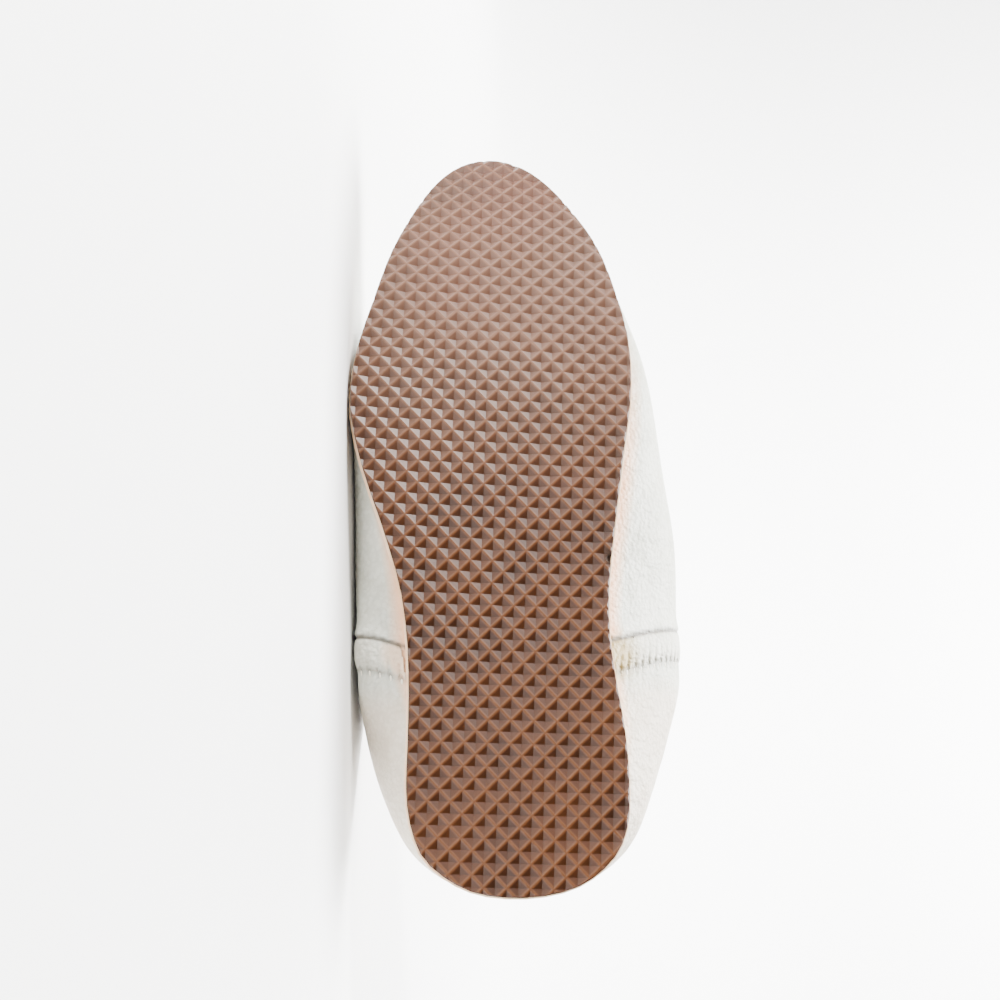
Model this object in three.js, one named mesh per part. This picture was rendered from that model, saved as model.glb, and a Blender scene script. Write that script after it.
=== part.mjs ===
import * as THREE from 'three';
import { ConvexHull } from 'three/addons/math/ConvexHull.js';

// Left babouche slipper in millimetres, its back trodden down onto the insole.
// Built upright first: +Y runs to the toe, +X is the inner side of the foot, Z is up,
// and the tread lies on Z = 0. It is then laid down on its side.

const soleLength = 253.5;     // heel tip to toe tip, measured along the tread
const springStart = 145;      // the sole is flat up to here, then lifts
const springRadius = 295;     // radius of the lift under the toes
const outsoleThickness = 4;
const outsoleBevel = 0.5;
const layerGap = 0.3;         // between pieces that follow the same curve
const midsoleThickness = 1.5;
const midsoleMargin = 0.8;    // how far the thin leather layer stands proud of the rubber
const featherInset = 0.6;     // foot of the upper, inside the rubber's edge
const insoleThickness = 2;
const insoleInset = 3.4;
const upperWall = 1.8;
const seamAt = 71;            // side seam, from the heel tip
const seamShare = 0.55;       // share of the side section that stands below the seam's top
const throatAt = 131;         // middle of the vamp's edge, from the heel tip
const throatCurve = 1.7;      // higher is squarer
const bandTo = 76;            // front edge of the lap over the side seam
const bandLift = 0.78;        // clear of the upper's facets
const bandThickness = 0.82;
const restSide = 1;           // 1 lies on the inner side, -1 on the outer side
const restReach = 50;         // the floor there, across from the sole's middle line at the ball
const restAt = 156;
const restYaw = 0.035;        // how much farther out the floor is toward the heel
const restLean = 0.1;         // how much nearer it is toward the crown
const restSoftness = 1.2;     // rounding where the leather meets the floor

const featherUp = outsoleThickness + layerGap + midsoleThickness + layerGap;
const insoleUp = featherUp;

// Half widths of the tread each side of the line from heel tip to toe tip.
const treadOutline = [
  { at: 0, inner: 0, outer: 0 },
  { at: 2, inner: 14.6, outer: 14.4 },
  { at: 7, inner: 24.2, outer: 23.6 },
  { at: 13, inner: 30.4, outer: 29.2 },
  { at: 20, inner: 33.3, outer: 32 },
  { at: 30, inner: 34.8, outer: 33.1 },
  { at: 48, inner: 33.9, outer: 33 },
  { at: 64, inner: 33.1, outer: 31.2 },
  { at: 78, inner: 33.1, outer: 30.2 },
  { at: 94, inner: 34.6, outer: 31.2 },
  { at: 114, inner: 39.6, outer: 34.6 },
  { at: 136, inner: 46.1, outer: 38.7 },
  { at: 156, inner: 49.2, outer: 42.5 },
  { at: 175, inner: 46.6, outer: 43.2 },
  { at: 193, inner: 41, outer: 40.4 },
  { at: 212, inner: 34.7, outer: 35.6 },
  { at: 228, inner: 27.2, outer: 28 },
  { at: 240, inner: 20.2, outer: 20.7 },
  { at: 248, inner: 13.4, outer: 13.6 },
  { at: 252, inner: 7.2, outer: 7.2 },
  { at: 253.5, inner: 0, outer: 0 },
];

// Section of the vamp at stations from the side seam to the toe. Each side is one curve that
// leaves the sole toward a knee, passes a shoulder and ends on the crown. Knees and shoulders
// are given outward from the foot of the upper, the crown above the tread and its middle line
// inward of the sole's.
const crownLine = [
  { at: 60, crown: 87, inward: 20, drop: 22 },
  { at: 71, crown: 84, inward: 20, drop: 21 },
  { at: 92, crown: 76, inward: 13, drop: 14 },
  { at: 114, crown: 67, inward: 6, drop: 8 },
  { at: 135, crown: 57, inward: 4, drop: 0 },
  { at: 158, crown: 48, inward: 3, drop: 0 },
  { at: 185, crown: 38, inward: 2, drop: 0 },
  { at: 212, crown: 29, inward: 1, drop: 0 },
  { at: 233, crown: 21.5, inward: 0.5, drop: 0 },
  { at: 245, crown: 15.5, inward: 0.2, drop: 0 },
  { at: 253.5, crown: featherUp, inward: 0, drop: 0 },
];
const innerSide = [
  { at: 60, knee: 46, kneeUp: 6, shoulder: 43 },
  { at: 71, knee: 45, kneeUp: 6, shoulder: 40 },
  { at: 92, knee: 39, kneeUp: 7, shoulder: 37 },
  { at: 114, knee: 26, kneeUp: 12, shoulder: 31 },
  { at: 135, knee: 15, kneeUp: 16, shoulder: 14 },
  { at: 158, knee: 12, kneeUp: 14, shoulder: 0 },
  { at: 185, knee: 12, kneeUp: 12, shoulder: -6 },
  { at: 212, knee: 10, kneeUp: 9, shoulder: -8 },
  { at: 233, knee: 7, kneeUp: 7, shoulder: -6 },
  { at: 245, knee: 5, kneeUp: 5, shoulder: -4 },
  { at: 253.5, knee: 0, kneeUp: 0, shoulder: 0 },
];
const outerSide = [
  { at: 60, knee: 20, kneeUp: 18, shoulder: 78 },
  { at: 71, knee: 20, kneeUp: 18, shoulder: 74 },
  { at: 92, knee: 24, kneeUp: 18, shoulder: 67 },
  { at: 114, knee: 28, kneeUp: 17, shoulder: 53 },
  { at: 135, knee: 29, kneeUp: 16, shoulder: 29 },
  { at: 158, knee: 25, kneeUp: 14, shoulder: 5 },
  { at: 185, knee: 17, kneeUp: 12, shoulder: -5 },
  { at: 212, knee: 9.5, kneeUp: 9, shoulder: -9 },
  { at: 233, knee: 6.5, kneeUp: 7, shoulder: -6 },
  { at: 245, knee: 4.5, kneeUp: 5, shoulder: -4 },
  { at: 253.5, knee: 0, kneeUp: 0, shoulder: 0 },
];

// The trodden-down back, by its share of the way round from the side seam (0) to the middle of
// the heel (1): height and flare of the fold, then the edge of the flap measured from the fold.
const foldedBack = [
  { turn: 0, rise: 41, innerFlare: 26, outerFlare: 29, edgeIn: 0, edgeForward: 0, edgeDown: 0 },
  { turn: 0.1, rise: 36.5, innerFlare: 20.5, outerFlare: 25.5, edgeIn: 7, edgeForward: 3.5, edgeDown: 1.2 },
  { turn: 0.25, rise: 28.5, innerFlare: 14, outerFlare: 18.5, edgeIn: 14, edgeForward: 14, edgeDown: 9 },
  { turn: 0.5, rise: 16.4, innerFlare: 5, outerFlare: 7.5, edgeIn: 20, edgeForward: 29, edgeDown: 9.4 },
  { turn: 0.75, rise: 8.8, innerFlare: 1.8, outerFlare: 2.4, edgeIn: 13, edgeForward: 42, edgeDown: 4.2 },
  { turn: 1, rise: 6.4, innerFlare: 0.9, outerFlare: 0.9, edgeIn: 0, edgeForward: 46, edgeDown: 1.9 },
];

const soleRows = 46;
const vampRows = 22;
const wallSteps = [0, 0.12, 0.26, 0.42, 0.58, 0.73, 0.85, 0.93, 1];
const crownSteps = 6;
const backRibs = 13;
const flapSteps = [0.06, 0.13, 0.22, 0.34, 0.5, 0.68, 0.85, 1];

// Stations crowd toward both tips, where the outline turns fastest.
const stationOf = (turn) => soleLength * (1 - Math.cos(Math.PI * turn)) / 2;
const turnOf = (at) => Math.acos(1 - 2 * at / soleLength) / Math.PI;
const seamTurn = turnOf(seamAt);
const throatTurn = turnOf(throatAt);

const mix = (a, b, share) => a + (b - a) * share;
const ease = (x) => {
  const t = Math.min(1, Math.max(0, x));
  return t * t * (3 - 2 * t);
};

// Smooth curve through one column of a table.
function smooth(keys, values) {
  const last = keys.length - 1;
  const slopeAt = (i) => {
    if (i === 0) return (values[1] - values[0]) / (keys[1] - keys[0]);
    if (i === last) return (values[last] - values[last - 1]) / (keys[last] - keys[last - 1]);
    const before = (values[i] - values[i - 1]) / (keys[i] - keys[i - 1]);
    const after = (values[i + 1] - values[i]) / (keys[i + 1] - keys[i]);
    const weight = (keys[i] - keys[i - 1]) / (keys[i + 1] - keys[i - 1]);
    return mix(before, after, weight);
  };
  return (x) => {
    let i = 0;
    while (i < last - 1 && x > keys[i + 1]) i += 1;
    const span = keys[i + 1] - keys[i];
    const t = (x - keys[i]) / span;
    const rise = values[i + 1] - values[i];
    const bend = slopeAt(i) * span - rise;
    const unbend = rise - slopeAt(i + 1) * span;
    return mix(values[i], values[i + 1], t) + t * (1 - t) * (bend * (1 - t) + unbend * t);
  };
}
const alongSole = (rows, column) => smooth(rows.map((row) => turnOf(row.at)), rows.map((row) => row[column]));
const roundBack = (column) => smooth(foldedBack.map((row) => row.turn), foldedBack.map((row) => row[column]));

const halfWidth = { 1: alongSole(treadOutline, 'inner'), '-1': alongSole(treadOutline, 'outer') };
const knee = { 1: alongSole(innerSide, 'knee'), '-1': alongSole(outerSide, 'knee') };
const kneeUp = { 1: alongSole(innerSide, 'kneeUp'), '-1': alongSole(outerSide, 'kneeUp') };
const shoulder = { 1: alongSole(innerSide, 'shoulder'), '-1': alongSole(outerSide, 'shoulder') };
const crown = alongSole(crownLine, 'crown');
const shoulderDrop = alongSole(crownLine, 'drop');
const ridge = alongSole(crownLine, 'inward');
const fold = {
  rise: roundBack('rise'),
  flare: { 1: roundBack('innerFlare'), '-1': roundBack('outerFlare') },
  edgeIn: roundBack('edgeIn'),
  edgeForward: roundBack('edgeForward'),
  edgeDown: roundBack('edgeDown'),
};

// Across, along and above the tread, turned into a point that follows the lift of the toe.
function onSole(across, along, above) {
  const angle = Math.max(0, along - springStart) / springRadius;
  if (angle === 0) return new THREE.Vector3(across, along, above);
  const radius = springRadius - above;
  return new THREE.Vector3(
    across,
    springStart + radius * Math.sin(angle),
    springRadius - radius * Math.cos(angle),
  );
}

// Outward direction of the tread's outline, and the outline moved outward by a margin.
function outward(side, turn) {
  const step = 0.002;
  const before = Math.max(0, turn - step);
  const after = Math.min(1, turn + step);
  const along = stationOf(after) - stationOf(before);
  const across = side * (halfWidth[side](after) - halfWidth[side](before));
  if (turn <= 0) return new THREE.Vector2(0, -1);
  if (turn >= 1) return new THREE.Vector2(0, 1);
  return new THREE.Vector2(side * along, -side * across).normalize();
}
function outlinePoint(side, turn, margin) {
  const out = outward(side, turn);
  return new THREE.Vector2(
    side * halfWidth[side](turn) + out.x * margin,
    stationOf(turn) + out.y * margin,
  );
}

// Closed mesh from strips of points; points that coincide are shared.
class Shell {
  constructor() {
    this.points = [];
    this.faces = [];
    this.keys = new Map();
  }

  point(p) {
    const key = p.toArray().map((v) => Math.round(v * 2000)).join(',');
    if (!this.keys.has(key)) {
      this.keys.set(key, this.points.length);
      this.points.push(p);
    }
    return this.keys.get(key);
  }

  face(a, b, c) {
    const corners = [this.point(a), this.point(b), this.point(c)];
    if (new Set(corners).size === 3) this.faces.push(corners);
  }

  // Rows of points, one row per rib; every four neighbours make two faces.
  grid(rows, flip = false) {
    for (let i = 0; i + 1 < rows.length; i += 1) {
      for (let j = 0; j + 1 < rows[i].length; j += 1) {
        const [a, b, c, d] = [rows[i][j], rows[i][j + 1], rows[i + 1][j + 1], rows[i + 1][j]];
        if (flip) {
          this.face(a, c, b);
          this.face(a, d, c);
        } else {
          this.face(a, b, c);
          this.face(a, c, d);
        }
      }
    }
  }

  volume() {
    const cross = new THREE.Vector3();
    return this.faces.reduce((sum, [a, b, c]) => {
      cross.crossVectors(this.points[b], this.points[c]);
      return sum + this.points[a].dot(cross) / 6;
    }, 0);
  }

  mesh(name, material) {
    if (this.volume() < 0) this.faces = this.faces.map(([a, b, c]) => [a, c, b]);
    const geometry = new THREE.BufferGeometry();
    const flat = this.points.flatMap((p) => p.toArray());
    geometry.setAttribute('position', new THREE.Float32BufferAttribute(flat, 3));
    geometry.setIndex(this.faces.flat());
    geometry.computeVertexNormals();
    const mesh = new THREE.Mesh(geometry, material);
    mesh.name = name;
    return mesh;
  }
}

// A flat layer of the sole between two heights, its outline moved outward by a margin.
function soleLayer(name, bottom, top, margin, bevel, material) {
  const levels = [
    { up: bottom, margin: margin - bevel },
    { up: bottom + bevel, margin },
    { up: top, margin },
  ];
  const rim = (level, side, row) => {
    const p = outlinePoint(side, row / soleRows, level.margin);
    return onSole(p.x, p.y, level.up);
  };
  const shell = new Shell();
  const rows = [...Array(soleRows + 1).keys()];
  const used = bevel > 0 ? levels : [levels[0], levels[2]];
  const bottomRows = rows.map((row) => [rim(used[0], -1, row), rim(used[0], 1, row)]);
  const topRows = rows.map((row) => [rim(used.at(-1), -1, row), rim(used.at(-1), 1, row)]);
  shell.grid(bottomRows);
  shell.grid(topRows, true);
  [-1, 1].forEach((side) => {
    shell.grid(rows.map((row) => used.map((level) => rim(level, side, row))), side < 0);
  });
  return shell.mesh(name, material);
}

// One side of the vamp's section: share runs from the sole (0) to the crown (1).
function vampCurve(side, turn) {
  const foot = outlinePoint(side, turn, -featherInset);
  const footAcross = Math.abs(foot.x);
  const top = crown(turn);
  return [
    new THREE.Vector2(footAcross, featherUp),
    new THREE.Vector2(footAcross + knee[side](turn), featherUp + kneeUp[side](turn)),
    new THREE.Vector2(footAcross + shoulder[side](turn), top - shoulderDrop(turn)),
    new THREE.Vector2(side * ridge(turn), top),
  ];
}
function bezier(points, share) {
  const t = share;
  const weights = [(1 - t) ** 3, 3 * t * (1 - t) ** 2, 3 * t * t * (1 - t), t ** 3];
  const sum = points[0].clone().multiplyScalar(weights[0]);
  weights.slice(1).forEach((weight, i) => sum.addScaledVector(points[i + 1], weight));
  return sum;
}
// The side the slipper lies on is pressed flat against the floor, the seam's lap included.
function pressed(p) {
  if (p.x * restSide <= 0) return p;
  const floor = restReach + restYaw * (restAt - p.y) - restLean * (p.z - featherUp);
  const lap = (bandLift + bandThickness) * (1 - ease((p.y - bandTo) / 30));
  const room = (floor - lap - p.x * restSide) / restSoftness;
  const kept = room > 20 ? room : Math.log(1 + Math.exp(room));
  return p.setX(restSide * (floor - lap - restSoftness * kept));
}
function vampPoint(side, turn, share) {
  const p = bezier(vampCurve(side, turn), share);
  const shift = mix(outward(side, turn).y, outward(-side, turn).y, share / 2);
  return pressed(onSole(side * p.x, stationOf(turn) - featherInset * shift, p.y));
}

// The part of the seam's own section below the seam's top, as a curve of its own.
function seamCurve(side) {
  const [a, b, c, d] = vampCurve(side, seamTurn);
  const between = (p, q) => p.clone().lerp(q, seamShare);
  const [ab, bc, cd] = [between(a, b), between(b, c), between(c, d)];
  const [abc, bcd] = [between(ab, bc), between(bc, cd)];
  return [a, ab, abc, between(abc, bcd)];
}

// Rib of the folded back: up the outside to the fold, then down the flap to its edge.
// Wall shares run 0 to 1, flap shares from 1 to 2.
function backRib(side, turn) {
  const along = seamTurn * (1 - turn);
  const foot = outlinePoint(side, along, -featherInset);
  const settle = ease(turn / 0.22);
  const bend = outward(side, along);
  const out = new THREE.Vector2(mix(side, bend.x, settle), mix(0, bend.y, settle)).normalize();
  const rise = fold.rise(turn);
  const flare = fold.flare[side](turn);
  const radius = Math.sqrt(1.2 * rise);
  const own = [
    new THREE.Vector2(0, 0),
    new THREE.Vector2(flare * (side === restSide ? 0.9 : 0.72), rise * 0.4),
    new THREE.Vector2(flare + radius * 0.5, rise),
    new THREE.Vector2(flare - radius * 0.5, rise),
  ];
  const seam = seamCurve(side);
  const start = seam[0].clone();
  const wall = own.map((p, i) => seam[i].clone().sub(start).lerp(p, settle));
  const place = (p) => new THREE.Vector3(foot.x + out.x * p.x, foot.y + out.y * p.x, featherUp + p.y);
  const curve = wall.map(place);
  const top = curve[3];
  const edge = top.clone().add(new THREE.Vector3(
    -side * fold.edgeIn(turn),
    fold.edgeForward(turn),
    -fold.edgeDown(turn),
  ));
  const reach = top.distanceTo(edge);
  const over = curve[3].clone().sub(curve[2]).normalize().multiplyScalar(Math.min(radius, reach * 0.3));
  const level = new THREE.Vector3(-side * fold.edgeIn(turn), fold.edgeForward(turn), 0);
  if (level.length() > 0) level.normalize().multiplyScalar(reach * 0.35);
  const down = fold.edgeDown(turn) * 0.08;
  const flap = [
    top,
    top.clone().add(over),
    edge.clone().sub(level).add(new THREE.Vector3(0, 0, down)),
    edge,
  ];
  if (turn === 0) return (share) => vampPoint(side, seamTurn, Math.min(1, share) * seamShare);
  return (share) => pressed(share <= 1 ? bezier(curve, share) : bezier(flap, share - 1));
}

// Share of the way round the back at each rib, a little closer together near the seam.
const backShare = (rib) => (rib / backRibs) ** 1.15;

// Where each line of the vamp ends: on the side seam, then along the throat.
function lastTurn(share) {
  if (share <= seamShare) return seamTurn;
  const left = (1 - share) / (1 - seamShare);
  return mix(seamTurn, throatTurn, 1 - left ** throatCurve);
}

function upperShell() {
  const vampLines = [];
  const addLine = (side, share) => {
    const end = lastTurn(share);
    const line = [...Array(vampRows + 1).keys()].map((row) => (
      vampPoint(side, mix(1, end, row / vampRows), share)
    ));
    vampLines.push(line);
  };
  const shares = wallSteps.map((step) => step * seamShare);
  for (let i = 1; i <= crownSteps; i += 1) shares.push(mix(seamShare, 1, i / crownSteps));
  shares.forEach((share) => addLine(-1, share));
  shares.slice(0, -1).reverse().forEach((share) => addLine(1, share));

  const ribs = [];
  const ribSteps = [...wallSteps, ...flapSteps.map((step) => 1 + step)];
  const addRib = (side, turn) => {
    const rib = backRib(side, turn);
    ribs.push(ribSteps.map((step) => rib(step)));
  };
  for (let i = 0; i <= backRibs; i += 1) addRib(-1, backShare(i));
  for (let i = backRibs - 1; i >= 0; i -= 1) addRib(1, backShare(i));

  const skin = new Shell();
  skin.grid(vampLines);
  skin.grid(ribs, true);
  return skin;
}

// Gives an open skin its wall: the skin, its copy moved inward, and the two rims between them.
function thicken(skin, wall) {
  const normals = skin.points.map(() => new THREE.Vector3());
  const ab = new THREE.Vector3();
  const ac = new THREE.Vector3();
  skin.faces.forEach((corners) => {
    corners.forEach((corner, i) => {
      ab.subVectors(skin.points[corners[(i + 1) % 3]], skin.points[corner]);
      ac.subVectors(skin.points[corners[(i + 2) % 3]], skin.points[corner]);
      const weight = ab.angleTo(ac);
      normals[corner].addScaledVector(ab.cross(ac).normalize(), weight);
    });
  });
  const inside = skin.points.map((p, i) => {
    const move = normals[i].normalize().clone();
    const foot = Math.abs(footHeight(p) - featherUp) < 0.01;
    if (foot) move.sub(soleNormal(p).multiplyScalar(move.dot(soleNormal(p)))).normalize();
    return p.clone().addScaledVector(move, -wall);
  });
  const edges = new Map();
  skin.faces.forEach(([a, b, c]) => {
    [[a, b], [b, c], [c, a]].forEach(([from, to]) => {
      if (edges.has(`${to},${from}`)) edges.delete(`${to},${from}`);
      else edges.set(`${from},${to}`, [from, to]);
    });
  });
  const solid = new Shell();
  skin.faces.forEach(([a, b, c]) => {
    solid.face(skin.points[a], skin.points[b], skin.points[c]);
    solid.face(inside[a], inside[c], inside[b]);
  });
  edges.forEach(([from, to]) => {
    solid.face(skin.points[to], skin.points[from], inside[from]);
    solid.face(skin.points[to], inside[from], inside[to]);
  });
  return solid;
}

// Height above the tread and the tread's own upward direction at a point.
function soleNormal(p) {
  if (p.y <= springStart) return new THREE.Vector3(0, 0, 1);
  return new THREE.Vector3(0, springStart - p.y, springRadius - p.z).normalize();
}
function footHeight(p) {
  if (p.y <= springStart) return p.z;
  return springRadius - Math.hypot(p.y - springStart, springRadius - p.z);
}

// Raised lap over a side seam, cut from the upper's own surface between two lifts.
function seamBand(name, side, material) {
  const shares = wallSteps.slice(0, -1).map((step) => Math.max(0.05, step));
  const surface = (at, share) => {
    const turn = turnOf(at);
    if (at < seamAt) return backRib(side, 1 - turn / seamTurn)(share);
    const left = Math.max(0, (turn - seamTurn) / (throatTurn - seamTurn));
    const last = 1 - (1 - seamShare) * (1 - left) ** (1 / throatCurve);
    return vampPoint(side, turn, share * last);
  };
  const firstRib = stationOf(seamTurn * (1 - backShare(1)));
  const stations = [firstRib, seamAt - 0.01, 73.5, bandTo];
  const lifted = (lift) => stations.map((at) => (
    shares.map((share) => {
      const alongStep = surface(at + 0.05, share).sub(surface(at - 0.05, share));
      const upStep = surface(at, share + 0.01).sub(surface(at, share - 0.01));
      const normal = alongStep.cross(upStep).normalize().multiplyScalar(side);
      return surface(at, share).addScaledVector(normal, lift);
    })
  ));
  const near = lifted(bandLift);
  const far = lifted(bandLift + bandThickness);
  const column = (rows, i) => rows.map((row) => row.at(i));
  const shell = new Shell();
  shell.grid(far);
  shell.grid(near, true);
  shell.grid([near[0], far[0]]);
  shell.grid([far.at(-1), near.at(-1)]);
  shell.grid([column(near, 0), column(far, 0)], true);
  shell.grid([column(far, -1), column(near, -1)], true);
  return shell.mesh(name, material);
}

// Volume and centre of a closed mesh.
function centreOf(meshes) {
  const centre = new THREE.Vector3();
  let total = 0;
  meshes.forEach((mesh) => {
    const position = mesh.geometry.attributes.position;
    const index = mesh.geometry.index.array;
    for (let i = 0; i < index.length; i += 3) {
      const [a, b, c] = [0, 1, 2].map((k) => (
        new THREE.Vector3().fromBufferAttribute(position, index[i + k])
      ));
      const part = a.dot(b.clone().cross(c)) / 6;
      total += part;
      centre.addScaledVector(a.add(b).add(c), part / 4);
    }
  });
  return centre.divideScalar(total);
}

// Lays the slipper on the flat of its own hull nearest to the chosen side and below its weight.
function layDown(group) {
  const points = [];
  group.children.forEach((mesh) => {
    const position = mesh.geometry.attributes.position;
    for (let i = 0; i < position.count; i += 1) {
      points.push(new THREE.Vector3().fromBufferAttribute(position, i));
    }
  });
  const hull = new ConvexHull().setFromPoints(points);
  const centre = centreOf(group.children);
  const holdsWeight = (face) => {
    const foot = centre.clone().addScaledVector(face.normal, face.constant - face.normal.dot(centre));
    let edge = face.edge;
    do {
      const head = edge.head().point;
      const tail = edge.tail().point;
      const side = head.clone().sub(tail).cross(foot.clone().sub(tail)).dot(face.normal);
      if (side < 0) return false;
      edge = edge.next;
    } while (edge !== face.edge);
    return true;
  };
  const flats = hull.faces.filter((face) => face.normal.x * restSide > 0 && holdsWeight(face));
  flats.sort((a, b) => restSide * (b.normal.x - a.normal.x));
  const down = new THREE.Vector3(0, 0, -1);
  const lay = new THREE.Matrix4().makeRotationFromQuaternion(
    new THREE.Quaternion().setFromUnitVectors(flats[0].normal, down),
  );
  const toe = new THREE.Vector3(0, 1, 0).transformDirection(lay);
  lay.premultiply(new THREE.Matrix4().makeRotationZ(Math.atan2(toe.x, toe.y)));
  group.children.forEach((mesh) => mesh.geometry.applyMatrix4(lay));
  const box = new THREE.Box3().setFromObject(group);
  const middle = box.getCenter(new THREE.Vector3());
  group.children.forEach((mesh) => mesh.geometry.translate(-middle.x, -middle.y, -box.min.z));
}

const leather = (color, roughness) => new THREE.MeshStandardMaterial({ color, roughness, metalness: 0 });

const slipper = new THREE.Group();
slipper.name = 'babouche_slipper';
slipper.add(soleLayer(
  'outsole',
  0,
  outsoleThickness,
  0,
  outsoleBevel,
  new THREE.MeshStandardMaterial({ color: '#7d4e2e', roughness: 0.6, metalness: 0 }),
));
slipper.add(soleLayer(
  'midsole',
  outsoleThickness + layerGap,
  outsoleThickness + layerGap + midsoleThickness,
  midsoleMargin,
  0,
  leather('#ecd3b4', 0.7),
));
slipper.add(soleLayer(
  'insole',
  insoleUp,
  insoleUp + insoleThickness,
  -insoleInset,
  0,
  leather('#d9c6a6', 0.75),
));
slipper.add(thicken(upperShell(), upperWall).mesh('upper', leather('#e4e1d8', 0.55)));
slipper.add(seamBand('side_seam_inner', 1, leather('#dfdcd2', 0.55)));
slipper.add(seamBand('side_seam_outer', -1, leather('#dfdcd2', 0.55)));

layDown(slipper);

export default slipper;
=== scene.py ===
import math
import bpy
import bmesh
import numpy as np
from mathutils import Matrix, Vector


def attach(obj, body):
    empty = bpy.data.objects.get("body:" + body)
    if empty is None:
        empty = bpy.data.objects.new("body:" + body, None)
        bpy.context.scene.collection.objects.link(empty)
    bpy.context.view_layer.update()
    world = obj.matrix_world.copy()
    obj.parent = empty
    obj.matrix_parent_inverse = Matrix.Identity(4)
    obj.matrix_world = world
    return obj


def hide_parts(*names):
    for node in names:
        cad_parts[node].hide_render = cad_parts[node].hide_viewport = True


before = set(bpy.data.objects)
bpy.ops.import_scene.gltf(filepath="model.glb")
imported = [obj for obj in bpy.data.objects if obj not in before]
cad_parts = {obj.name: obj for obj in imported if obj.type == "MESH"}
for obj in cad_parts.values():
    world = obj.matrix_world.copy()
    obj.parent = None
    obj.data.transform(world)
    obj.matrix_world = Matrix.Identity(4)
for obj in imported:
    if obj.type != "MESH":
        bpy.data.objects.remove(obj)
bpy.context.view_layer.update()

# The slipper lies on its inner side. These are its own directions and its heel tip (mm): across
# toward the inner side, along toward the toe and up from the tread, as when it stands.
pose = {
    "inner": (-0.091713, -0.033949, -0.995207),
    "toe": (0.0, 0.999419, -0.034093),
    "up": (0.995786, -0.003127, -0.091659),
    "heelTip": (-28.766, -124.9319, 55.6117),
    "springStart": 145.0,  # the sole is flat up to here
    "springRadius": 295.0,
    "length": 253.5,
}
axes = np.array([pose["inner"], pose["toe"], pose["up"]])
heelTip = np.array(pose["heelTip"])


def toWorld(p):
    # across, along and above the tread in mm, following the lift of the toe, to metres in the scene
    p = np.atleast_2d(np.asarray(p, float)).copy()
    angle = np.maximum(0, p[:, 1] - pose["springStart"]) / pose["springRadius"]
    bent = angle > 0
    reach = pose["springRadius"] - p[:, 2]
    along = np.where(bent, pose["springStart"] + reach * np.sin(angle), p[:, 1])
    above = np.where(bent, pose["springRadius"] - reach * np.cos(angle), p[:, 2])
    return (np.column_stack([p[:, 0], along, above]) @ axes + heelTip) / 1000


def toShoe(w):
    # the other way: metres in the scene to across, along and above the tread in mm
    p = (np.atleast_2d(np.asarray(w, float)) * 1000 - heelTip) @ axes.T
    bent = p[:, 1] > pose["springStart"]
    ahead = p[:, 1] - pose["springStart"]
    below = pose["springRadius"] - p[:, 2]
    turned = pose["springRadius"] * np.arctan2(ahead, below)
    along = np.where(bent, pose["springStart"] + turned, p[:, 1])
    above = np.where(bent, pose["springRadius"] - np.hypot(ahead, below), p[:, 2])
    return np.column_stack([p[:, 0], along, above])


def direction(across, along, above):
    return Vector((np.array([across, along, above]) @ axes).tolist())


# small helpers for meshes
def only(obj):
    if bpy.context.object and bpy.context.object.mode != "OBJECT":
        bpy.ops.object.mode_set(mode="OBJECT")
    bpy.ops.object.select_all(action="DESELECT")
    obj.select_set(True)
    bpy.context.view_layer.objects.active = obj


def edit(obj, mode="FACE", everything=True):
    only(obj)
    bpy.ops.object.mode_set(mode="EDIT")
    bpy.ops.mesh.select_mode(type=mode)
    bpy.ops.mesh.select_all(action="SELECT" if everything else "DESELECT")


def leaveEdit():
    bpy.ops.object.mode_set(mode="OBJECT")


def points(obj):
    co = np.empty(len(obj.data.vertices) * 3)
    obj.data.vertices.foreach_get("co", co)
    return co.reshape(-1, 3)


def normals(obj):
    n = np.empty(len(obj.data.vertices) * 3)
    obj.data.vertices.foreach_get("normal", n)
    return n.reshape(-1, 3)


def movePoints(obj, co):
    obj.data.vertices.foreach_set("co", np.ascontiguousarray(co, float).ravel())
    obj.data.update()


def faceTable(obj):
    centre = np.empty(len(obj.data.polygons) * 3)
    normal = np.empty(len(obj.data.polygons) * 3)
    obj.data.polygons.foreach_get("center", centre)
    obj.data.polygons.foreach_get("normal", normal)
    return centre.reshape(-1, 3), normal.reshape(-1, 3)


def selectFaces(obj, wanted):
    # leaves the object in edit mode with only these faces selected
    edit(obj, everything=False)
    leaveEdit()
    obj.data.polygons.foreach_set("select", np.asarray(wanted, bool))
    bpy.ops.object.mode_set(mode="EDIT")


def apply(obj, kind, **settings):
    only(obj)
    modifier = obj.modifiers.new(kind.title(), kind)
    for key, value in settings.items():
        setattr(modifier, key, value)
    bpy.ops.object.modifier_apply(modifier=modifier.name)


def roundEdges(obj, look):
    width = look["edgeRound"] / 1000
    angle = math.radians(look["edgeAngle"])
    apply(obj, "BEVEL", width=width, segments=2, limit_method="ANGLE", angle_limit=angle)


def cadCopy(node, name):
    # the CAD node's shape as a piece of its own, its loose triangles joined into quads again
    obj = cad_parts[node].copy()
    obj.data = obj.data.copy()
    obj.name = obj.data.name = name
    for key in list(obj.keys()):
        del obj[key]
    bpy.context.scene.collection.objects.link(obj)
    obj.parent = None
    obj.data.materials.clear()
    edit(obj)
    bpy.ops.mesh.remove_doubles(threshold=2e-6)
    bpy.ops.mesh.customdata_custom_splitnormals_clear()
    loose = math.radians(60)
    bpy.ops.mesh.tris_convert_to_quads(face_threshold=loose, shape_threshold=loose)
    leaveEdit()
    return obj


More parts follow.
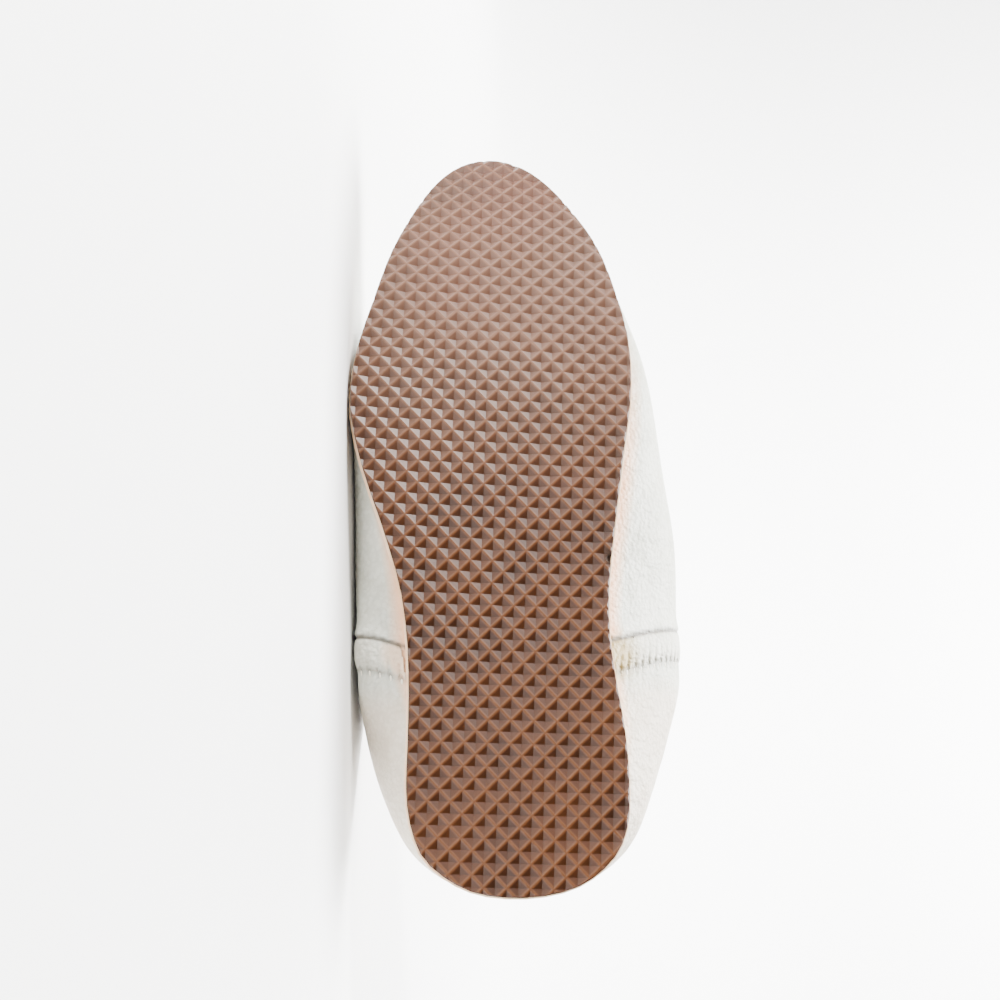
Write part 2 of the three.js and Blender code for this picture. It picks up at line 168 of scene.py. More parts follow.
def creaseSharp(obj, angle, amount):
    # keeps rims crisp when the piece is subdivided
    mesh = bmesh.new()
    mesh.from_mesh(obj.data)
    layers = mesh.edges.layers.float
    layer = layers.get("crease_edge") or layers.new("crease_edge")
    for e in mesh.edges:
        if len(e.link_faces) == 2 and e.calc_face_angle() > math.radians(angle):
            e[layer] = amount
    mesh.to_mesh(obj.data)
    mesh.free()


def finishPiece(obj, nodes=(), angle=40):
    only(obj)
    bpy.ops.object.shade_smooth_by_angle(angle=math.radians(angle))
    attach(obj, "root")
    if nodes:
        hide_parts(*nodes)
    print("piece", obj.name, len(obj.data.polygons))


def setAttribute(obj, name, values):
    attribute = obj.data.attributes.new(name, "FLOAT", "POINT")
    attribute.data.foreach_set("value", np.asarray(values, np.float32))


# materials are built from nodes with these two classes
class Wire:
    # a socket that takes part in Python sums
    def __init__(self, shader, socket):
        self.shader = shader
        self.socket = socket

    def math(self, operation, a, b):
        return self.shader.node("ShaderNodeMath", {"operation": operation}, {0: a, 1: b})

    def __add__(self, other):
        return self.math("ADD", self, other)

    def __radd__(self, other):
        return self.math("ADD", other, self)

    def __sub__(self, other):
        return self.math("SUBTRACT", self, other)

    def __rsub__(self, other):
        return self.math("SUBTRACT", other, self)

    def __mul__(self, other):
        return self.math("MULTIPLY", self, other)

    def __rmul__(self, other):
        return self.math("MULTIPLY", other, self)

    def between(self, low, high):
        # 0 below low, 1 above high, smooth between
        ends = {"Value": self, "From Min": low, "From Max": high}
        return self.shader.node("ShaderNodeMapRange", {"interpolation_type": "SMOOTHSTEP"}, ends)


class Shader:
    def __init__(self, name):
        self.material = bpy.data.materials.new(name)
        self.material.use_nodes = True
        self.tree = self.material.node_tree
        self.surface = self.tree.nodes["Principled BSDF"]

    def plug(self, socket, value):
        if isinstance(value, Wire):
            self.tree.links.new(value.socket, socket)
        else:
            socket.default_value = value

    def node(self, kind, settings, inputs, out=0):
        # settings first, then a value or a link for each socket, by name or number
        made = self.tree.nodes.new(kind)
        for key, value in settings.items():
            setattr(made, key, value)
        for key, value in inputs.items():
            self.plug(made.inputs[key], value)
        return Wire(self, made.outputs[out])

    def place(self):
        return self.node("ShaderNodeTexCoord", {}, {}, "Object")

    def attribute(self, name):
        return self.node("ShaderNodeAttribute", {"attribute_name": name}, {}, "Fac")

    def noise(self, vector, scale, detail, roughness=0.5, out=0):
        inputs = {"Vector": vector, "Scale": scale, "Detail": detail, "Roughness": roughness}
        return self.node("ShaderNodeTexNoise", {}, inputs, out)

    def cells(self, vector, scale, smooth):
        inputs = {"Vector": vector, "Scale": scale, "Smoothness": smooth}
        return self.node("ShaderNodeTexVoronoi", {"feature": "SMOOTH_F1"}, inputs, "Distance")

    def vector(self, operation, a, b):
        second = "Scale" if operation == "SCALE" else 1
        return self.node("ShaderNodeVectorMath", {"operation": operation}, {0: a, second: b})

    def shift(self, vector, amount, scale):
        # a place moved a little by noise, so that cells lose their regular look
        wobble = self.noise(vector, scale, 2, out="Color")
        centred = self.vector("SUBTRACT", wobble, (0.5, 0.5, 0.5))
        return self.vector("ADD", vector, self.vector("SCALE", centred, amount))

    def mix(self, factor, a, b):
        return self.node("ShaderNodeMix", {"data_type": "RGBA"}, {0: factor, 6: a, 7: b}, 2)

    def bump(self, height, distance, strength, before=None):
        inputs = {"Height": height, "Distance": distance, "Strength": strength}
        if before:
            inputs["Normal"] = before
        return self.node("ShaderNodeBump", {}, inputs)

    def finish(self, inputs):
        for key, value in inputs.items():
            self.plug(self.surface.inputs[key], value)
        return self.material


def tone(rgb):
    # a colour given as 0 to 255 display values
    linear = [((v / 255 + 0.055) / 1.055) ** 2.4 if v > 10 else v / 255 / 12.92 for v in rgb]
    return (*linear, 1.0)


grained = {
    "upper_leather": {
        "light": (203, 204, 193),
        "dark": (168, 168, 153),
        "edge": (222, 166, 122),  # warm where it was cut
        "edgeShare": 0.9,
        "tanPatch": (150, 130, 76),
        # painted shade for the seam's creases, and how much of it
        "seamShade": (70, 63, 50),
        "seamShadeShare": 0.85,
        "patchy": 0.2,  # how much its gloss changes from place to place
    },
    "seam_leather": {
        "light": (198, 197, 185),
        "dark": (164, 161, 145),
        "edge": (222, 184, 150),
        "edgeShare": 0.7,
        "tanPatch": (150, 130, 76),
        # painted shade for the seam's creases, and how much of it
        "seamShade": (74, 66, 54),
        "seamShadeShare": 0.9,
        "patchy": 0.16,
    },
}


def grainedLeather(name):
    look = grained[name]
    s = Shader(name)
    where = s.place()
    pebbles = s.cells(s.shift(where, 0.0012, 500), 620, 0.35)
    fine = s.noise(where, 2300, 3)
    broad = s.noise(where, 20, 3, 0.55)
    middle = s.noise(where, 110, 3, 0.6)
    # long shallow wrinkles that follow the foot
    stretched = s.vector("MULTIPLY", s.shift(where, 0.006, 60), (0.4, 1, 0.4))
    wrinkles = s.noise(stretched, 330, 3, 0.55)
    shade = broad.between(0.38, 0.66) * 0.5 + middle.between(0.42, 0.7) * 0.3
    shade = shade + pebbles.between(0.36, 0.62) * 0.25
    colour = s.mix(shade, tone(look["light"]), tone(look["dark"]))
    colour = s.mix(s.attribute("warmEdge") * look["edgeShare"], colour, tone(look["edge"]))
    colour = s.mix(s.attribute("tanPatch"), colour, tone(look["tanPatch"]))
    # painted shade in the seam's creases, mixed over the leather
    colour = s.mix(s.attribute("seamShade") * look["seamShadeShare"], colour, tone(look["seamShade"]))
    bumped = s.bump((1 - pebbles) * 0.8 + fine * 0.2, 0.0006, 0.8)
    bumped = s.bump(wrinkles, 0.0014, 0.6, bumped)
    gloss = 0.42 + middle * look["patchy"]
    return s.finish({"Base Color": colour, "Roughness": gloss, "Normal": bumped})


plain = {
    "lining": {"light": (228, 208, 174), "dark": (198, 170, 130)},
    "insole": {"light": (222, 200, 164), "dark": (196, 166, 124), "worn": (150, 116, 80)},
    "edge": {"light": (236, 206, 172), "dark": (214, 172, 132), "fibre": (180, 136, 98)},
    "thread": {"light": (240, 236, 224), "dark": (206, 198, 178)},
}


def liningLeather():
    look = plain["lining"]
    s = Shader("lining_leather")
    where = s.place()
    nap = s.noise(where, 900, 4, 0.6)
    broad = s.noise(where, 30, 3)
    shade = broad.between(0.35, 0.7) * 0.7 + nap * 0.2
    colour = s.mix(shade, tone(look["light"]), tone(look["dark"]))
    bumped = s.bump(nap, 0.0002, 0.5)
    return s.finish({"Base Color": colour, "Roughness": 0.78, "Normal": bumped})


def insoleLeather():
    look = plain["insole"]
    s = Shader("insole_leather")
    where = s.place()
    nap = s.noise(where, 1300, 4, 0.6)
    broad = s.noise(where, 24, 3)
    shade = broad.between(0.35, 0.7) * 0.6 + nap * 0.15
    colour = s.mix(shade, tone(look["light"]), tone(look["dark"]))
    colour = s.mix(s.attribute("wear") * 0.6, colour, tone(look["worn"]))
    bumped = s.bump(nap, 0.00015, 0.5)
    return s.finish({"Base Color": colour, "Roughness": 0.62 + nap * 0.15, "Normal": bumped})


def cutLeather():
    look = plain["edge"]
    s = Shader("natural_leather")
    where = s.place()
    fibre = s.noise(where, 1500, 4, 0.7)
    broad = s.noise(where, 45, 3)
    colour = s.mix(broad.between(0.3, 0.7), tone(look["light"]), tone(look["dark"]))
    colour = s.mix(fibre.between(0.5, 0.8) * 0.5, colour, tone(look["fibre"]))
    bumped = s.bump(fibre, 0.0002, 0.6)
    return s.finish({"Base Color": colour, "Roughness": 0.7, "Normal": bumped})


rubber = {
    "light": (55, 27, 6),
    "dark": (42, 19, 4),
    "red": (66, 25, 9),
    "dust": (112, 70, 40),  # on the flats between the pits
    "paintedSheen": (100, 74, 60),  # painted sheen: paler under the ball and toes
    # painted shade on the sole's side walls and inside the nick
    "rim": (34, 21, 9),
    "shine": 0.22,
}


def soleRubber():
    s = Shader("sole_rubber")
    where = s.place()
    grit = s.noise(where, 2200, 4, 0.65)
    cloud = s.noise(where, 34, 4, 0.6)
    patches = s.noise(where, 14, 2)
    pit = s.attribute("pit")
    toward = s.attribute("towardToe")
    rim = s.attribute("rim")
    colour = s.mix(cloud.between(0.35, 0.68), tone(rubber["light"]), tone(rubber["dark"]))
    colour = s.mix(patches.between(0.52, 0.7) * 0.45, colour, tone(rubber["red"]))
    dusty = (1 - pit).between(0.7, 1.0) * (cloud * 0.4 + 0.4)
    colour = s.mix(dusty * 0.5, colour, tone(rubber["dust"]))
    # painted sheen: a pale veil rising toward the toe, thinner at the very tip and in the pits
    paintedSheen = toward.between(0.4, 0.78) * (1 - toward.between(0.85, 1.0) * 0.45)
    colour = s.mix(paintedSheen * (0.62 - pit * 0.32), colour, tone(rubber["paintedSheen"]))
    # painted shade on the sole's side walls and inside the nick
    colour = s.mix(rim * 0.75, colour, tone(rubber["rim"]))
    return s.finish({
        "Base Color": colour,
        "Roughness": 0.34 + grit * 0.1 + cloud * 0.06 + rim * 0.45,
        "Specular IOR Level": rubber["shine"],
        "Normal": s.bump(grit, 0.00012, 0.4),
    })


def sewingThread():
    look = plain["thread"]
    s = Shader("sewing_thread")
    twist = s.noise(s.place(), 2400, 2)
    colour = s.mix(twist, tone(look["light"]), tone(look["dark"]))
    bumped = s.bump(twist, 0.00015, 0.6)
    return s.finish({"Base Color": colour, "Roughness": 0.7, "Normal": bumped})


def paleFloor():
    s = Shader("pale_floor")
    speck = s.noise(s.place(), 60, 3)
    colour = s.mix(speck, (0.94, 0.94, 0.935, 1), (0.92, 0.92, 0.915, 1))
    return s.finish({"Base Color": colour, "Roughness": 0.7})


materials = {
    "upper": grainedLeather("upper_leather"),
    "seam": grainedLeather("seam_leather"),
    "lining": liningLeather(),
    "insole": insoleLeather(),
    "edge": cutLeather(),
    "rubber": soleRubber(),
    "thread": sewingThread(),
    "floor": paleFloor(),
}
print("materials", len(materials))

# outsole: the rubber with its tread of small sunken pyramids
tread = {
    "pitch": 5.0,  # mm, side of one cell
    "turn": -45 - 4.3,  # degrees from the line of the foot
    "depth": 1.25,
    "ridge": 0.42,  # flat left between cells
    "cells": 52,
    "outlineAlong": [0, 30, 75, 100, 158, 200, 235, 253],  # cells past this outline are left out
    "outlineAcross": [32, 37, 35, 38, 51, 41, 27, 16],
    "margin": 5,
    "stampHeight": 4,
    "nickAlong": 101.5,  # a small cut in the outer edge
    "nickAcross": -32.0,
    "nickHeight": 0.2,
    "nickRadius": 1.5,
}


def makeOutsole():
    sole = cadCopy("outsole", "outsole_rubber")
    cells = tread["cells"]
    only(sole)
    size = tread["pitch"] * cells
    bpy.ops.mesh.primitive_grid_add(x_subdivisions=cells, y_subdivisions=cells, size=size)
    stamp = bpy.context.object
    edit(stamp)
    turn = math.radians(tread["turn"])
    bpy.ops.transform.rotate(value=turn, orient_axis="Z", center_override=(0, 0, 0))
    bpy.ops.transform.translate(value=(0, pose["length"] / 2, 0))
    leaveEdit()
    # only the cells that the sole can reach
    centre, _ = faceTable(stamp)
    margin = tread["margin"]
    across = np.interp(centre[:, 1], tread["outlineAlong"], tread["outlineAcross"])
    inLength = (centre[:, 1] > -margin) & (centre[:, 1] < pose["length"] + margin)
    inReach = (np.abs(centre[:, 0]) < across + margin) & inLength
    selectFaces(stamp, ~inReach)
    bpy.ops.mesh.delete(type="FACE")
    leaveEdit()
    corners = len(stamp.data.vertices)
    edit(stamp)
    bpy.ops.mesh.poke()
    leaveEdit()
    co = points(stamp)
    co[:, 2] = -tread["depth"] * tread["ridge"] / tread["pitch"]
    co[corners:, 2] = tread["depth"]
    movePoints(stamp, co)
    edit(stamp)
    down = (0, 0, -tread["stampHeight"])
    bpy.ops.mesh.extrude_region_move(TRANSFORM_OT_translate={"value": down})
    bpy.ops.mesh.select_all(action="SELECT")
    bpy.ops.mesh.normals_make_consistent(inside=False)
    leaveEdit()
    movePoints(stamp, toWorld(points(stamp)))
    apply(sole, "BOOLEAN", object=stamp, operation="DIFFERENCE", solver="EXACT")
    bpy.data.objects.remove(stamp)
    place = toWorld((tread["nickAcross"], tread["nickAlong"], tread["nickHeight"]))[0]
    radius = tread["nickRadius"] / 1000
    bpy.ops.mesh.primitive_ico_sphere_add(subdivisions=2, radius=radius, location=place)
    nick = bpy.context.object
    apply(sole, "BOOLEAN", object=nick, operation="DIFFERENCE", solver="EXACT")
    bpy.data.objects.remove(nick)
    shoe = toShoe(points(sole))
    setAttribute(sole, "pit", np.clip(shoe[:, 2] / tread["depth"], 0, 1))
    setAttribute(sole, "towardToe", shoe[:, 1] / pose["length"])
    # painted shade: the rim mask darkens the sole's side walls above the pits and the inside of the
    # nick
    rim = np.clip((shoe[:, 2] - 1.3) / 1.2, 0, 1)
    toNick = np.hypot(shoe[:, 0] - tread["nickAcross"], shoe[:, 1] - tread["nickAlong"])
    setAttribute(sole, "rim", np.maximum(rim, np.clip((2.4 - toNick) * 1.5, 0, 1)))
    sole.data.materials.clear()
    sole.data.materials.append(materials["rubber"])
    finishPiece(sole, ["outsole"], 22)


makeOutsole()

# midsole: thin natural leather whose cut edge shows as a pale line
midsoleLook = {"edgeRound": 0.3, "edgeAngle": 50}  # mm and degrees
midsole = cadCopy("midsole", "midsole_edge")
roundEdges(midsole, midsoleLook)
midsole.data.materials.append(materials["edge"])
finishPiece(midsole, ["midsole"])

# insole, worn darker under the heel and the ball
insoleLook = {
    "edgeRound": 0.5,
    "edgeAngle": 50,
    "cuts": 3,
    "worn": [
        # across, along, how far it spreads each way, how strong
        {"at": (0, 62), "spread": (20, 26), "strength": 0.5},
        {"at": (6, 160), "spread": (30, 26), "strength": 0.8},
    ],
}
insole = cadCopy("insole", "insole_leather")
roundEdges(insole, insoleLook)
edit(insole)
bpy.ops.mesh.subdivide(number_cuts=insoleLook["cuts"])
leaveEdit()
where = toShoe(points(insole))
wear = np.zeros(len(where))
for patch in insoleLook["worn"]:
    off = (where[:, :2] - patch["at"]) / patch["spread"]
    wear += patch["strength"] * np.exp(-(off ** 2).sum(axis=1))
setAttribute(insole, "wear", np.clip(wear, 0, 1))
insole.data.materials.append(materials["insole"])
finishPiece(insole, ["insole"])

# upper
upperLook = {
    "levels": 2,
    "rimAngle": 58,  # degrees; a sharper edge is a rim
    "rimCrease": 0.85,
    "creases": [
        # along at the middle, how it bends back to the sides, across range, depth mm, width mm
        {"along": 150, "bow": -14, "across": (-30, 34), "depth": 1.5, "width": 3.2},
        {"along": 161, "bow": -12, "across": (-36, 30), "depth": 1.2, "width": 2.6},
        {"along": 172, "bow": -10, "across": (-24, 32), "depth": 1.0, "width": 2.6},
        {"along": 140, "bow": -12, "across": (-20, 26), "depth": 0.9, "width": 3.0},
    ],
    "foot": 32.0,  # across to the foot of the wall at the side seam
    "footHeight": 6.1,
    "lipAt": 77.3,  # rolled edge of the vamp in front of the seam
    "lip": 0.75,
    "slack": 0.25,  # waves all over, and deeper ones on the trodden-down flap
    "flapSlack": 0.35,
}
seam = {
    "from": 65.8,
    "to": 76.2,
    "thick": 0.9,
    "pitch": 3.6,  # mm between the gathers, measured up the wall
    "gather": 0.55,
    "behind": 0.35,  # how deep the gathers are drawn in behind the lap
    "hole": 0.8,
    "lowest": 6.7,
    "belowRim": 1.6,
    "leanInner": 5.5,  # how far it has moved toward the toe at this reach up the wall
    "reachInner": 22.0,
    "leanOuter": 5.5,
    "reachOuter": 44.0,
}


def upWall(p):
    # distance up the wall from the foot of the upper, near the side seam
    return np.hypot(np.abs(p[:, 0]) - upperLook["foot"], p[:, 2] - upperLook["footHeight"])


def seamLean(p):
    # the seam runs forward as it climbs the flare of the wall
    inner = p[:, 0] > 0
    most = np.where(inner, seam["leanInner"], seam["leanOuter"])
    reach = np.where(inner, seam["reachInner"], seam["reachOuter"])
    return most * np.sin(math.pi / 2 * np.clip(upWall(p) / reach, 0, 1))


def alongSeam(p):
    return p[:, 1] - seamLean(p)


def splitLining(obj):
    # walks over the inner face of the wall from one face, stopping at the rims
    mesh = bmesh.new()
    mesh.from_mesh(obj.data)
    mesh.faces.ensure_lookup_table()
    target = Vector(toWorld((0, 190, 37))[0])
    inside = Vector(toWorld((0, 190, 20))[0]) - target
    facing = [f for f in mesh.faces if f.normal.dot(inside) > 0]
    seed = min(facing, key=lambda f: (f.calc_center_median() - target).length)
    found = {seed.index}
    queue = [seed]
    rim = math.radians(upperLook["rimAngle"])
    while queue:
        face = queue.pop()
        for e in face.edges:
            if len(e.link_faces) != 2 or e.calc_face_angle() > rim:
                continue
            for other in e.link_faces:
                if other.index not in found:
                    found.add(other.index)
                    queue.append(other)
    for i in found:
        mesh.faces[i].material_index = 1
    print("lining faces", len(found), "of", len(mesh.faces))
    mesh.to_mesh(obj.data)
    mesh.free()


def lining(obj):
    slots = np.empty(len(obj.data.polygons), np.int32)
    obj.data.polygons.foreach_get("material_index", slots)
    return slots == 1


def onLining(obj):
    flags = np.zeros(len(obj.data.vertices), bool)
    for f in obj.data.polygons:
        if f.material_index == 1:
            flags[list(f.vertices)] = True
    return flags


def edgeTanAndSeamShade(obj, p):
    # warm cut edge along the waist, a tan patch low on the outer seam, and painted shade in the
    # seam's creases
    waist = np.exp(-((np.abs(p[:, 1] - 100) / 62) ** 4))
    upTo = np.where(p[:, 0] > 0, 7.8, 11.2)
    edge = np.clip((upTo - p[:, 2]) / np.where(p[:, 0] > 0, 1.3, 3.0), 0, 1) * waist
    aged = np.clip((66 - p[:, 1]) / 8, 0, 1) * 0.22
    setAttribute(obj, "warmEdge", np.maximum(edge, aged))
    station = alongSeam(p)
    # a tan patch at the foot of the outer seam
    tan = np.exp(-(((station - 70) / 6.5) ** 4 + (upWall(p) / 10) ** 2)) * (p[:, 0] < 0)
    setAttribute(obj, "tanPatch", np.clip(tan * 1.5, 0, 0.95))
    # painted shadow line along the lap's front edge, and painted shade between the gathers at its
    # rear edge
    front = np.exp(-(((station - seam["to"] - 0.1) / 0.75) ** 2)) * (np.abs(p[:, 0]) > 20)
    folds = 0.4 + 0.6 * np.cos(math.pi * upWall(p) / seam["pitch"]) ** 4
    rear = np.exp(-(((station - seam["from"]) / 1.2) ** 2)) * folds
    setAttribute(obj, "seamShade", np.clip(front * 1.3 + rear * 0.9 * (np.abs(p[:, 0]) > 20), 0, 1))


def makeUpper():
    upper = cadCopy("upper", "upper_leather")
    upper.data.materials.append(materials["upper"])
    upper.data.materials.append(materials["lining"])
    splitLining(upper)
    creaseSharp(upper, upperLook["rimAngle"], upperLook["rimCrease"])
    levels = upperLook["levels"]
    apply(upper, "SUBSURF", levels=levels, render_levels=levels)
    # finer around the side seams, where the leather is gathered
    centre, _ = faceTable(upper)
    c = toShoe(centre)
    selectFaces(upper, (c[:, 1] > 60) & (c[:, 1] < 88) & (np.abs(c[:, 0]) > 28) & ~lining(upper))
    bpy.ops.mesh.subdivide(number_cuts=2)
    leaveEdit()
    co, n = points(upper), normals(upper)
    p = toShoe(co)
    lift = np.zeros(len(p))
    for crease in upperLook["creases"]:
        low, high = crease["across"]
        middle, half = (low + high) / 2, (high - low) / 2
        share = (p[:, 0] - middle) / half
        line = crease["along"] + crease["bow"] * share ** 2
        off = (p[:, 1] - line) / crease["width"]
        fade = np.clip(1.15 - share ** 2, 0, 1) * np.clip((p[:, 2] - 24) / 10, 0, 1)
        ridges = 0.6 * np.exp(-((np.abs(off) - 1.9) / 0.9) ** 2)
        lift += fade * crease["depth"] * (ridges - np.exp(-off ** 2))
    # slack waves on the trodden-down flap and along the sides
    flap = np.clip((58 - p[:, 1]) / 10, 0, 1) * np.clip((26 - np.abs(p[:, 0])) / 8, 0, 1)
    lift += flap * upperLook["flapSlack"] * np.sin(p[:, 0] / 4.2 + p[:, 1] / 9)
    waves = np.sin(p[:, 1] / 9 + p[:, 2] / 6) * np.sin(p[:, 0] / 11 + p[:, 2] / 13)
    lift += upperLook["slack"] * waves
    # the vamp's rolled edge in front of each seam, and gathers behind it
    beside = np.clip((np.abs(p[:, 0]) - 26) / 6, 0, 1)
    ahead = alongSeam(p) - upperLook["lipAt"]
    roll = np.where(ahead > 0, np.exp(-(ahead / 2.6) ** 2), np.exp(-(ahead / 0.7) ** 2))
    lift += beside * upperLook["lip"] * roll
    behind = np.exp(-((alongSeam(p) - seam["from"] + 1.5) / 1.8) ** 2)
    folds = np.cos(math.pi * upWall(p) / seam["pitch"]) ** 4
    lift -= beside * behind * seam["behind"] * folds
    outer = np.where(onLining(upper), -1.0, 1.0)
    co += n * (lift * outer / 1000)[:, None]
    movePoints(upper, co)
    edgeTanAndSeamShade(upper, p)
    finishPiece(upper, ["upper"], 50)
    return upper


upper = makeUpper()


# side seams: a raised lap cut from the upper's own surface, gathered by its stitches
def makeSeam(side, name, node):
    band = upper.copy()
    band.data = upper.data.copy()
    band.name = band.data.name = name
    bpy.context.scene.collection.objects.link(band)
    for key in list(band.keys()):
        del band[key]
    for attribute in ("warmEdge", "tanPatch", "seamShade"):
        band.data.attributes.remove(band.data.attributes[attribute])
    wall = toShoe(points(band))
    onSeam = (wall[:, 1] > 73) & (wall[:, 1] < 76) & (wall[:, 0] * side > 20)
    top = wall[onSeam, 2].max() - seam["belowRim"]
    centre, normal = faceTable(band)
    # the seam is set upright for the cuts and leaned again afterwards
    wall[:, 1] = alongSeam(wall)
    movePoints(band, toWorld(wall))
    p = toShoe(centre)
    p[:, 1] = alongSeam(p)
    near = (p[:, 1] > seam["from"] - 4) & (p[:, 1] < seam["to"] + 4) & (p[:, 2] < top + 3)
    keep = near & (p[:, 0] * side > 20) & ~lining(band) & (normal @ (axes[0] * side) > 0.15)
    selectFaces(band, ~keep)
    bpy.ops.mesh.delete(type="FACE")
    cuts = [
        ((0, seam["from"], 10), direction(0, -1, 0)),
        ((0, seam["to"], 10), direction(0, 1, 0)),
        ((0, 70, seam["lowest"]), direction(0, 0, -1)),
        ((0, 70, top), direction(0, 0, 1)),
    ]
    for at, away in cuts:
        bpy.ops.mesh.select_all(action="SELECT")
        bpy.ops.mesh.bisect(plane_co=Vector(toWorld(at)[0]), plane_no=away, clear_outer=True)
    bpy.ops.mesh.select_all(action="SELECT")
    bpy.ops.mesh.subdivide(number_cuts=2)
    leaveEdit()
    straight = toShoe(points(band))
    share = np.clip((straight[:, 1] - seam["from"]) / (seam["to"] - seam["from"]), 0, 1)
    straight[:, 1] += seamLean(straight)
    movePoints(band, toWorld(straight))
    co, n = points(band), normals(band)
    p = toShoe(co)
    crown = np.interp(share, [0, 0.12, 0.35, 0.65, 0.88, 1], [0.15, 0.55, 0.95, 1.0, 0.85, 0.25])
    wave = np.cos(math.pi * upWall(p) / seam["pitch"]) ** 2
    gather = wave ** 3 * np.exp(-(share / 0.5) ** 2)
    hole = wave ** 6 * np.exp(-((share - 0.06) / 0.07) ** 2)
    co += n * ((crown - seam["gather"] * gather - seam["hole"] * hole) / 1000)[:, None]
    movePoints(band, co)
    apply(band, "SOLIDIFY", thickness=seam["thick"] / 1000, offset=-1)
    edgeTanAndSeamShade(band, toShoe(points(band)))
    band.data.materials.clear()
    band.data.materials.append(materials["seam"])
    finishPiece(band, [node], 60)
    return top


topInner = makeSeam(1, "side_seam_lap_inner", "side_seam_inner")
topOuter = makeSeam(-1, "side_seam_lap_outer", "side_seam_outer")

# stitches, one in each gather, mm
stitch = {"long": 2.1, "wide": 0.85, "high": 0.6, "at": 64.9, "sink": 0.1}


def wallLine(obj, along, side):
    # points up the outer face of the wall at one station, from the sole to the rim, with its normals
    mesh = bmesh.new()
    mesh.from_mesh(obj.data)
    bmesh.ops.delete(mesh, geom=[f for f in mesh.faces if f.material_index == 1], context="FACES")
    wall = toShoe([v.co[:] for v in mesh.verts])
    wall[:, 1] = alongSeam(wall)
    for v, place in zip(mesh.verts, toWorld(wall)):
        v.co = place
    at = Vector(toWorld((0, along, 10))[0])
    geometry = mesh.verts[:] + mesh.edges[:] + mesh.faces[:]
    cut = bmesh.ops.bisect_plane(mesh, geom=geometry, plane_co=at, plane_no=direction(0, 1, 0))
    found = [v for v in cut["geom_cut"] if isinstance(v, bmesh.types.BMVert)]
    n = np.array([v.normal[:] for v in found])
    p = toShoe([v.co[:] for v in found])
    mesh.free()
    p[:, 1] += seamLean(p)
    co = toWorld(p)
    facing = (p[:, 0] * side > 20) & (n @ (axes[0] * side) > 0.1)
    order = np.argsort(upWall(p[facing]))
    return co[facing][order], n[facing][order], upWall(p[facing])[order]


def sewSeam(side, top, name):
    co, n, up = wallLine(upper, stitch["at"], side)
    bpy.ops.object.select_all(action="DESELECT")
    bpy.ops.mesh.primitive_uv_sphere_add(segments=10, ring_count=6, radius=0.5)
    one = bpy.context.object
    movePoints(one, points(one) * np.array([stitch["wide"], stitch["long"], stitch["high"]]) / 1000)
    parts = []
    count = int(min(up.max(), top) / seam["pitch"])
    for i in range(1, count + 1):
        at = i * seam["pitch"]
        place = np.array([np.interp(at, up, co[:, k]) for k in range(3)])
        out = Vector([np.interp(at, up, n[:, k]) for k in range(3)]).normalized()
        ahead = (direction(0, 1, 0) - out * direction(0, 1, 0).dot(out)).normalized()
        across = ahead.cross(out)
        turn = Matrix((across, ahead, out)).transposed().to_4x4()
        copy = one.copy()
        copy.data = one.data.copy()
        bpy.context.scene.collection.objects.link(copy)
        lifted = Vector(place.tolist()) - out * stitch["sink"] / 1000
        copy.data.transform(Matrix.Translation(lifted) @ turn)
        parts.append(copy)
    bpy.data.objects.remove(one)
    only(parts[0])
    for part in parts:
        part.select_set(True)
    bpy.ops.object.join()
    row = bpy.context.object
    row.name = row.data.name = name
    row.data.materials.clear()
    row.data.materials.append(materials["thread"])
    finishPiece(row, (), 80)


sewSeam(1, topInner, "seam_stitches_inner")
sewSeam(-1, topOuter, "seam_stitches_outer")

# floor, curved up into a backdrop behind the slipper
backdrop = {"wide": 1.9, "deep": 8, "shift": 0.05, "bend": 0.5, "steps": 8, "rise": 3}

only(upper)
bpy.ops.mesh.primitive_plane_add(size=1)
floor = bpy.context.object
floor.name = "floor"
edit(floor)
bpy.ops.transform.resize(value=(backdrop["wide"], backdrop["deep"], 1))
bpy.ops.transform.translate(value=(backdrop["shift"], 0, 0))
edit(floor, "EDGE", False)
leaveEdit()
for e in floor.data.edges:
    e.select = min(floor.data.vertices[i].co.x for i in e.vertices) > 0
bpy.ops.object.mode_set(mode="EDIT")
bend = [math.radians(90 * i / backdrop["steps"]) for i in range(backdrop["steps"] + 1)]
for a0, a1 in zip(bend, bend[1:]):
    forth = backdrop["bend"] * (math.sin(a1) - math.sin(a0))
    rise = backdrop["bend"] * (math.cos(a0) - math.cos(a1))
    bpy.ops.mesh.extrude_region_move(TRANSFORM_OT_translate={"value": (forth, 0, rise)})
bpy.ops.mesh.extrude_region_move(TRANSFORM_OT_translate={"value": (0, 0, backdrop["rise"])})
leaveEdit()
only(floor)
bpy.ops.object.shade_smooth()
floor.data.materials.append(materials["floor"])
print("floor", len(floor.data.polygons))

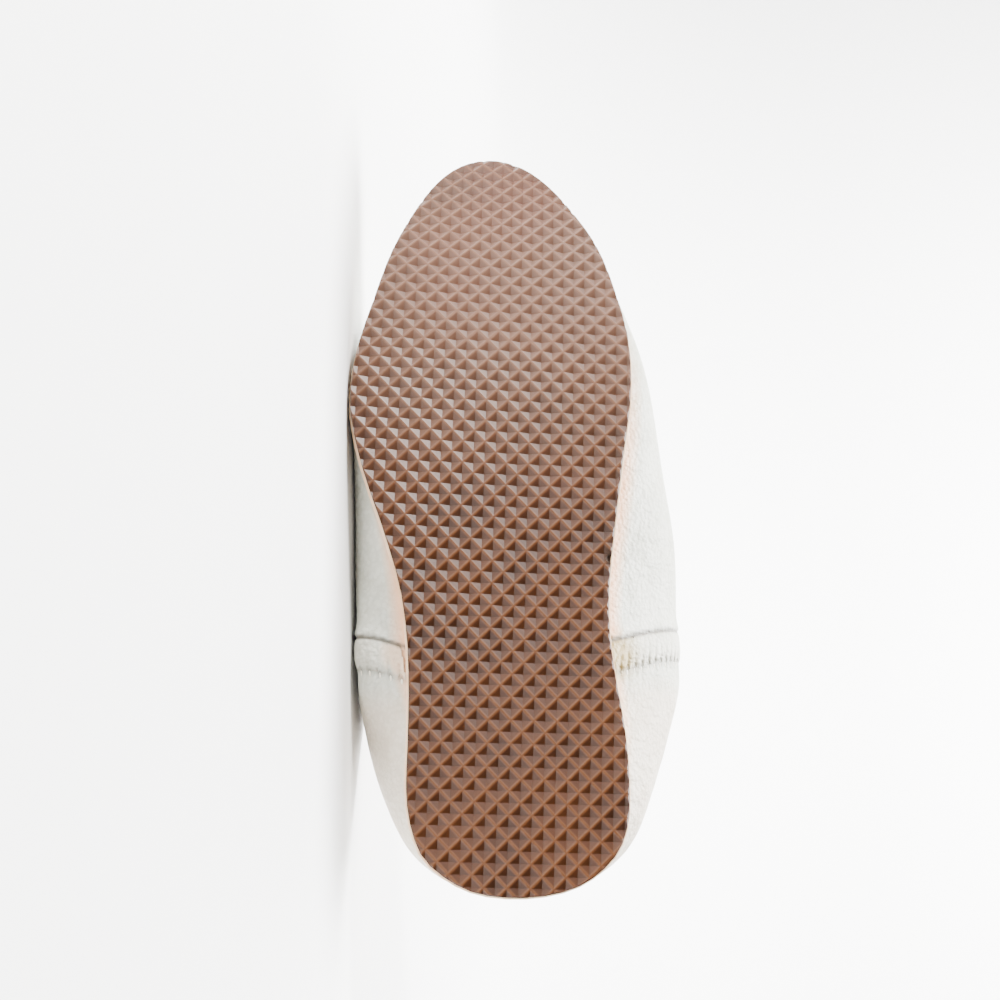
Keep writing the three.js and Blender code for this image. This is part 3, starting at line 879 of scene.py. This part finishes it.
# lights: a small key from the toe, and two wide washes
studio = {
    "world": 0.4,
    "lamps": [
        {
            "name": "toeKey",
            "at": (-0.5, 1.0, 0.55),
            "to": (0, 0, 0.05),
            "size": 0.22,
            "power": 60,
            "tint": (1, 0.985, 0.96),
        },
        {
            "name": "floorWash",
            "at": (0.1, 0.0, 2.2),
            "to": (0, 0, 0),
            "size": 1.6,
            "power": 70,
            "tint": (1, 1, 1),
        },
        {
            "name": "wallWash",
            "at": (0.5, 0.0, 1.5),
            "to": (1.4, 0, 0.5),
            "size": 1.2,
            "power": 220,
            "tint": (1, 1, 1),
        },
    ],
}
world = bpy.data.worlds.new("studio")
bpy.context.scene.world = world
world.use_nodes = True
world.node_tree.nodes["Background"].inputs["Color"].default_value = (1, 1, 1, 1)
world.node_tree.nodes["Background"].inputs["Strength"].default_value = studio["world"]
for lamp in studio["lamps"]:
    light = bpy.data.lights.new(lamp["name"], "AREA")
    light.shape = "DISK"
    light.size = lamp["size"]
    light.energy = lamp["power"]
    light.color = lamp["tint"]
    holder = bpy.data.objects.new(lamp["name"], light)
    holder.location = lamp["at"]
    toward = Vector(lamp["to"]) - Vector(lamp["at"])
    holder.rotation_euler = toward.to_track_quat("-Z", "Y").to_euler()
    bpy.context.scene.collection.objects.link(holder)
print("lights", len(studio["lamps"]))

# camera, facing the tread
shot = {
    "from": (18.0, 34.0, -389.0),  # across, along and above the tread, mm
    "aim": (1.5, 125.0, 14.0),
    "lens": 45.0,
    "lean": 2.8,  # degrees that the toe leans to the left
}
camera = bpy.data.objects.new("camera", bpy.data.cameras.new("camera"))
camera.data.lens = shot["lens"]
camera.data.clip_start = 0.01
bpy.context.scene.collection.objects.link(camera)
spot = (np.array(shot["from"]) @ axes + heelTip) / 1000
aim = toWorld(shot["aim"])[0]
forward = Vector((aim - spot).tolist()).normalized()
toeward = direction(0, 1, 0)
upright = (toeward - forward * toeward.dot(forward)).normalized()
right = forward.cross(upright)
lean = math.radians(shot["lean"])
upImage = upright * math.cos(lean) + right * math.sin(lean)
rightImage = forward.cross(upImage)
turn = Matrix((rightImage, upImage, -forward)).transposed().to_4x4()
camera.matrix_world = Matrix.Translation(Vector(spot.tolist())) @ turn
bpy.context.scene.camera = camera
print("camera", [round(v, 3) for v in camera.location])
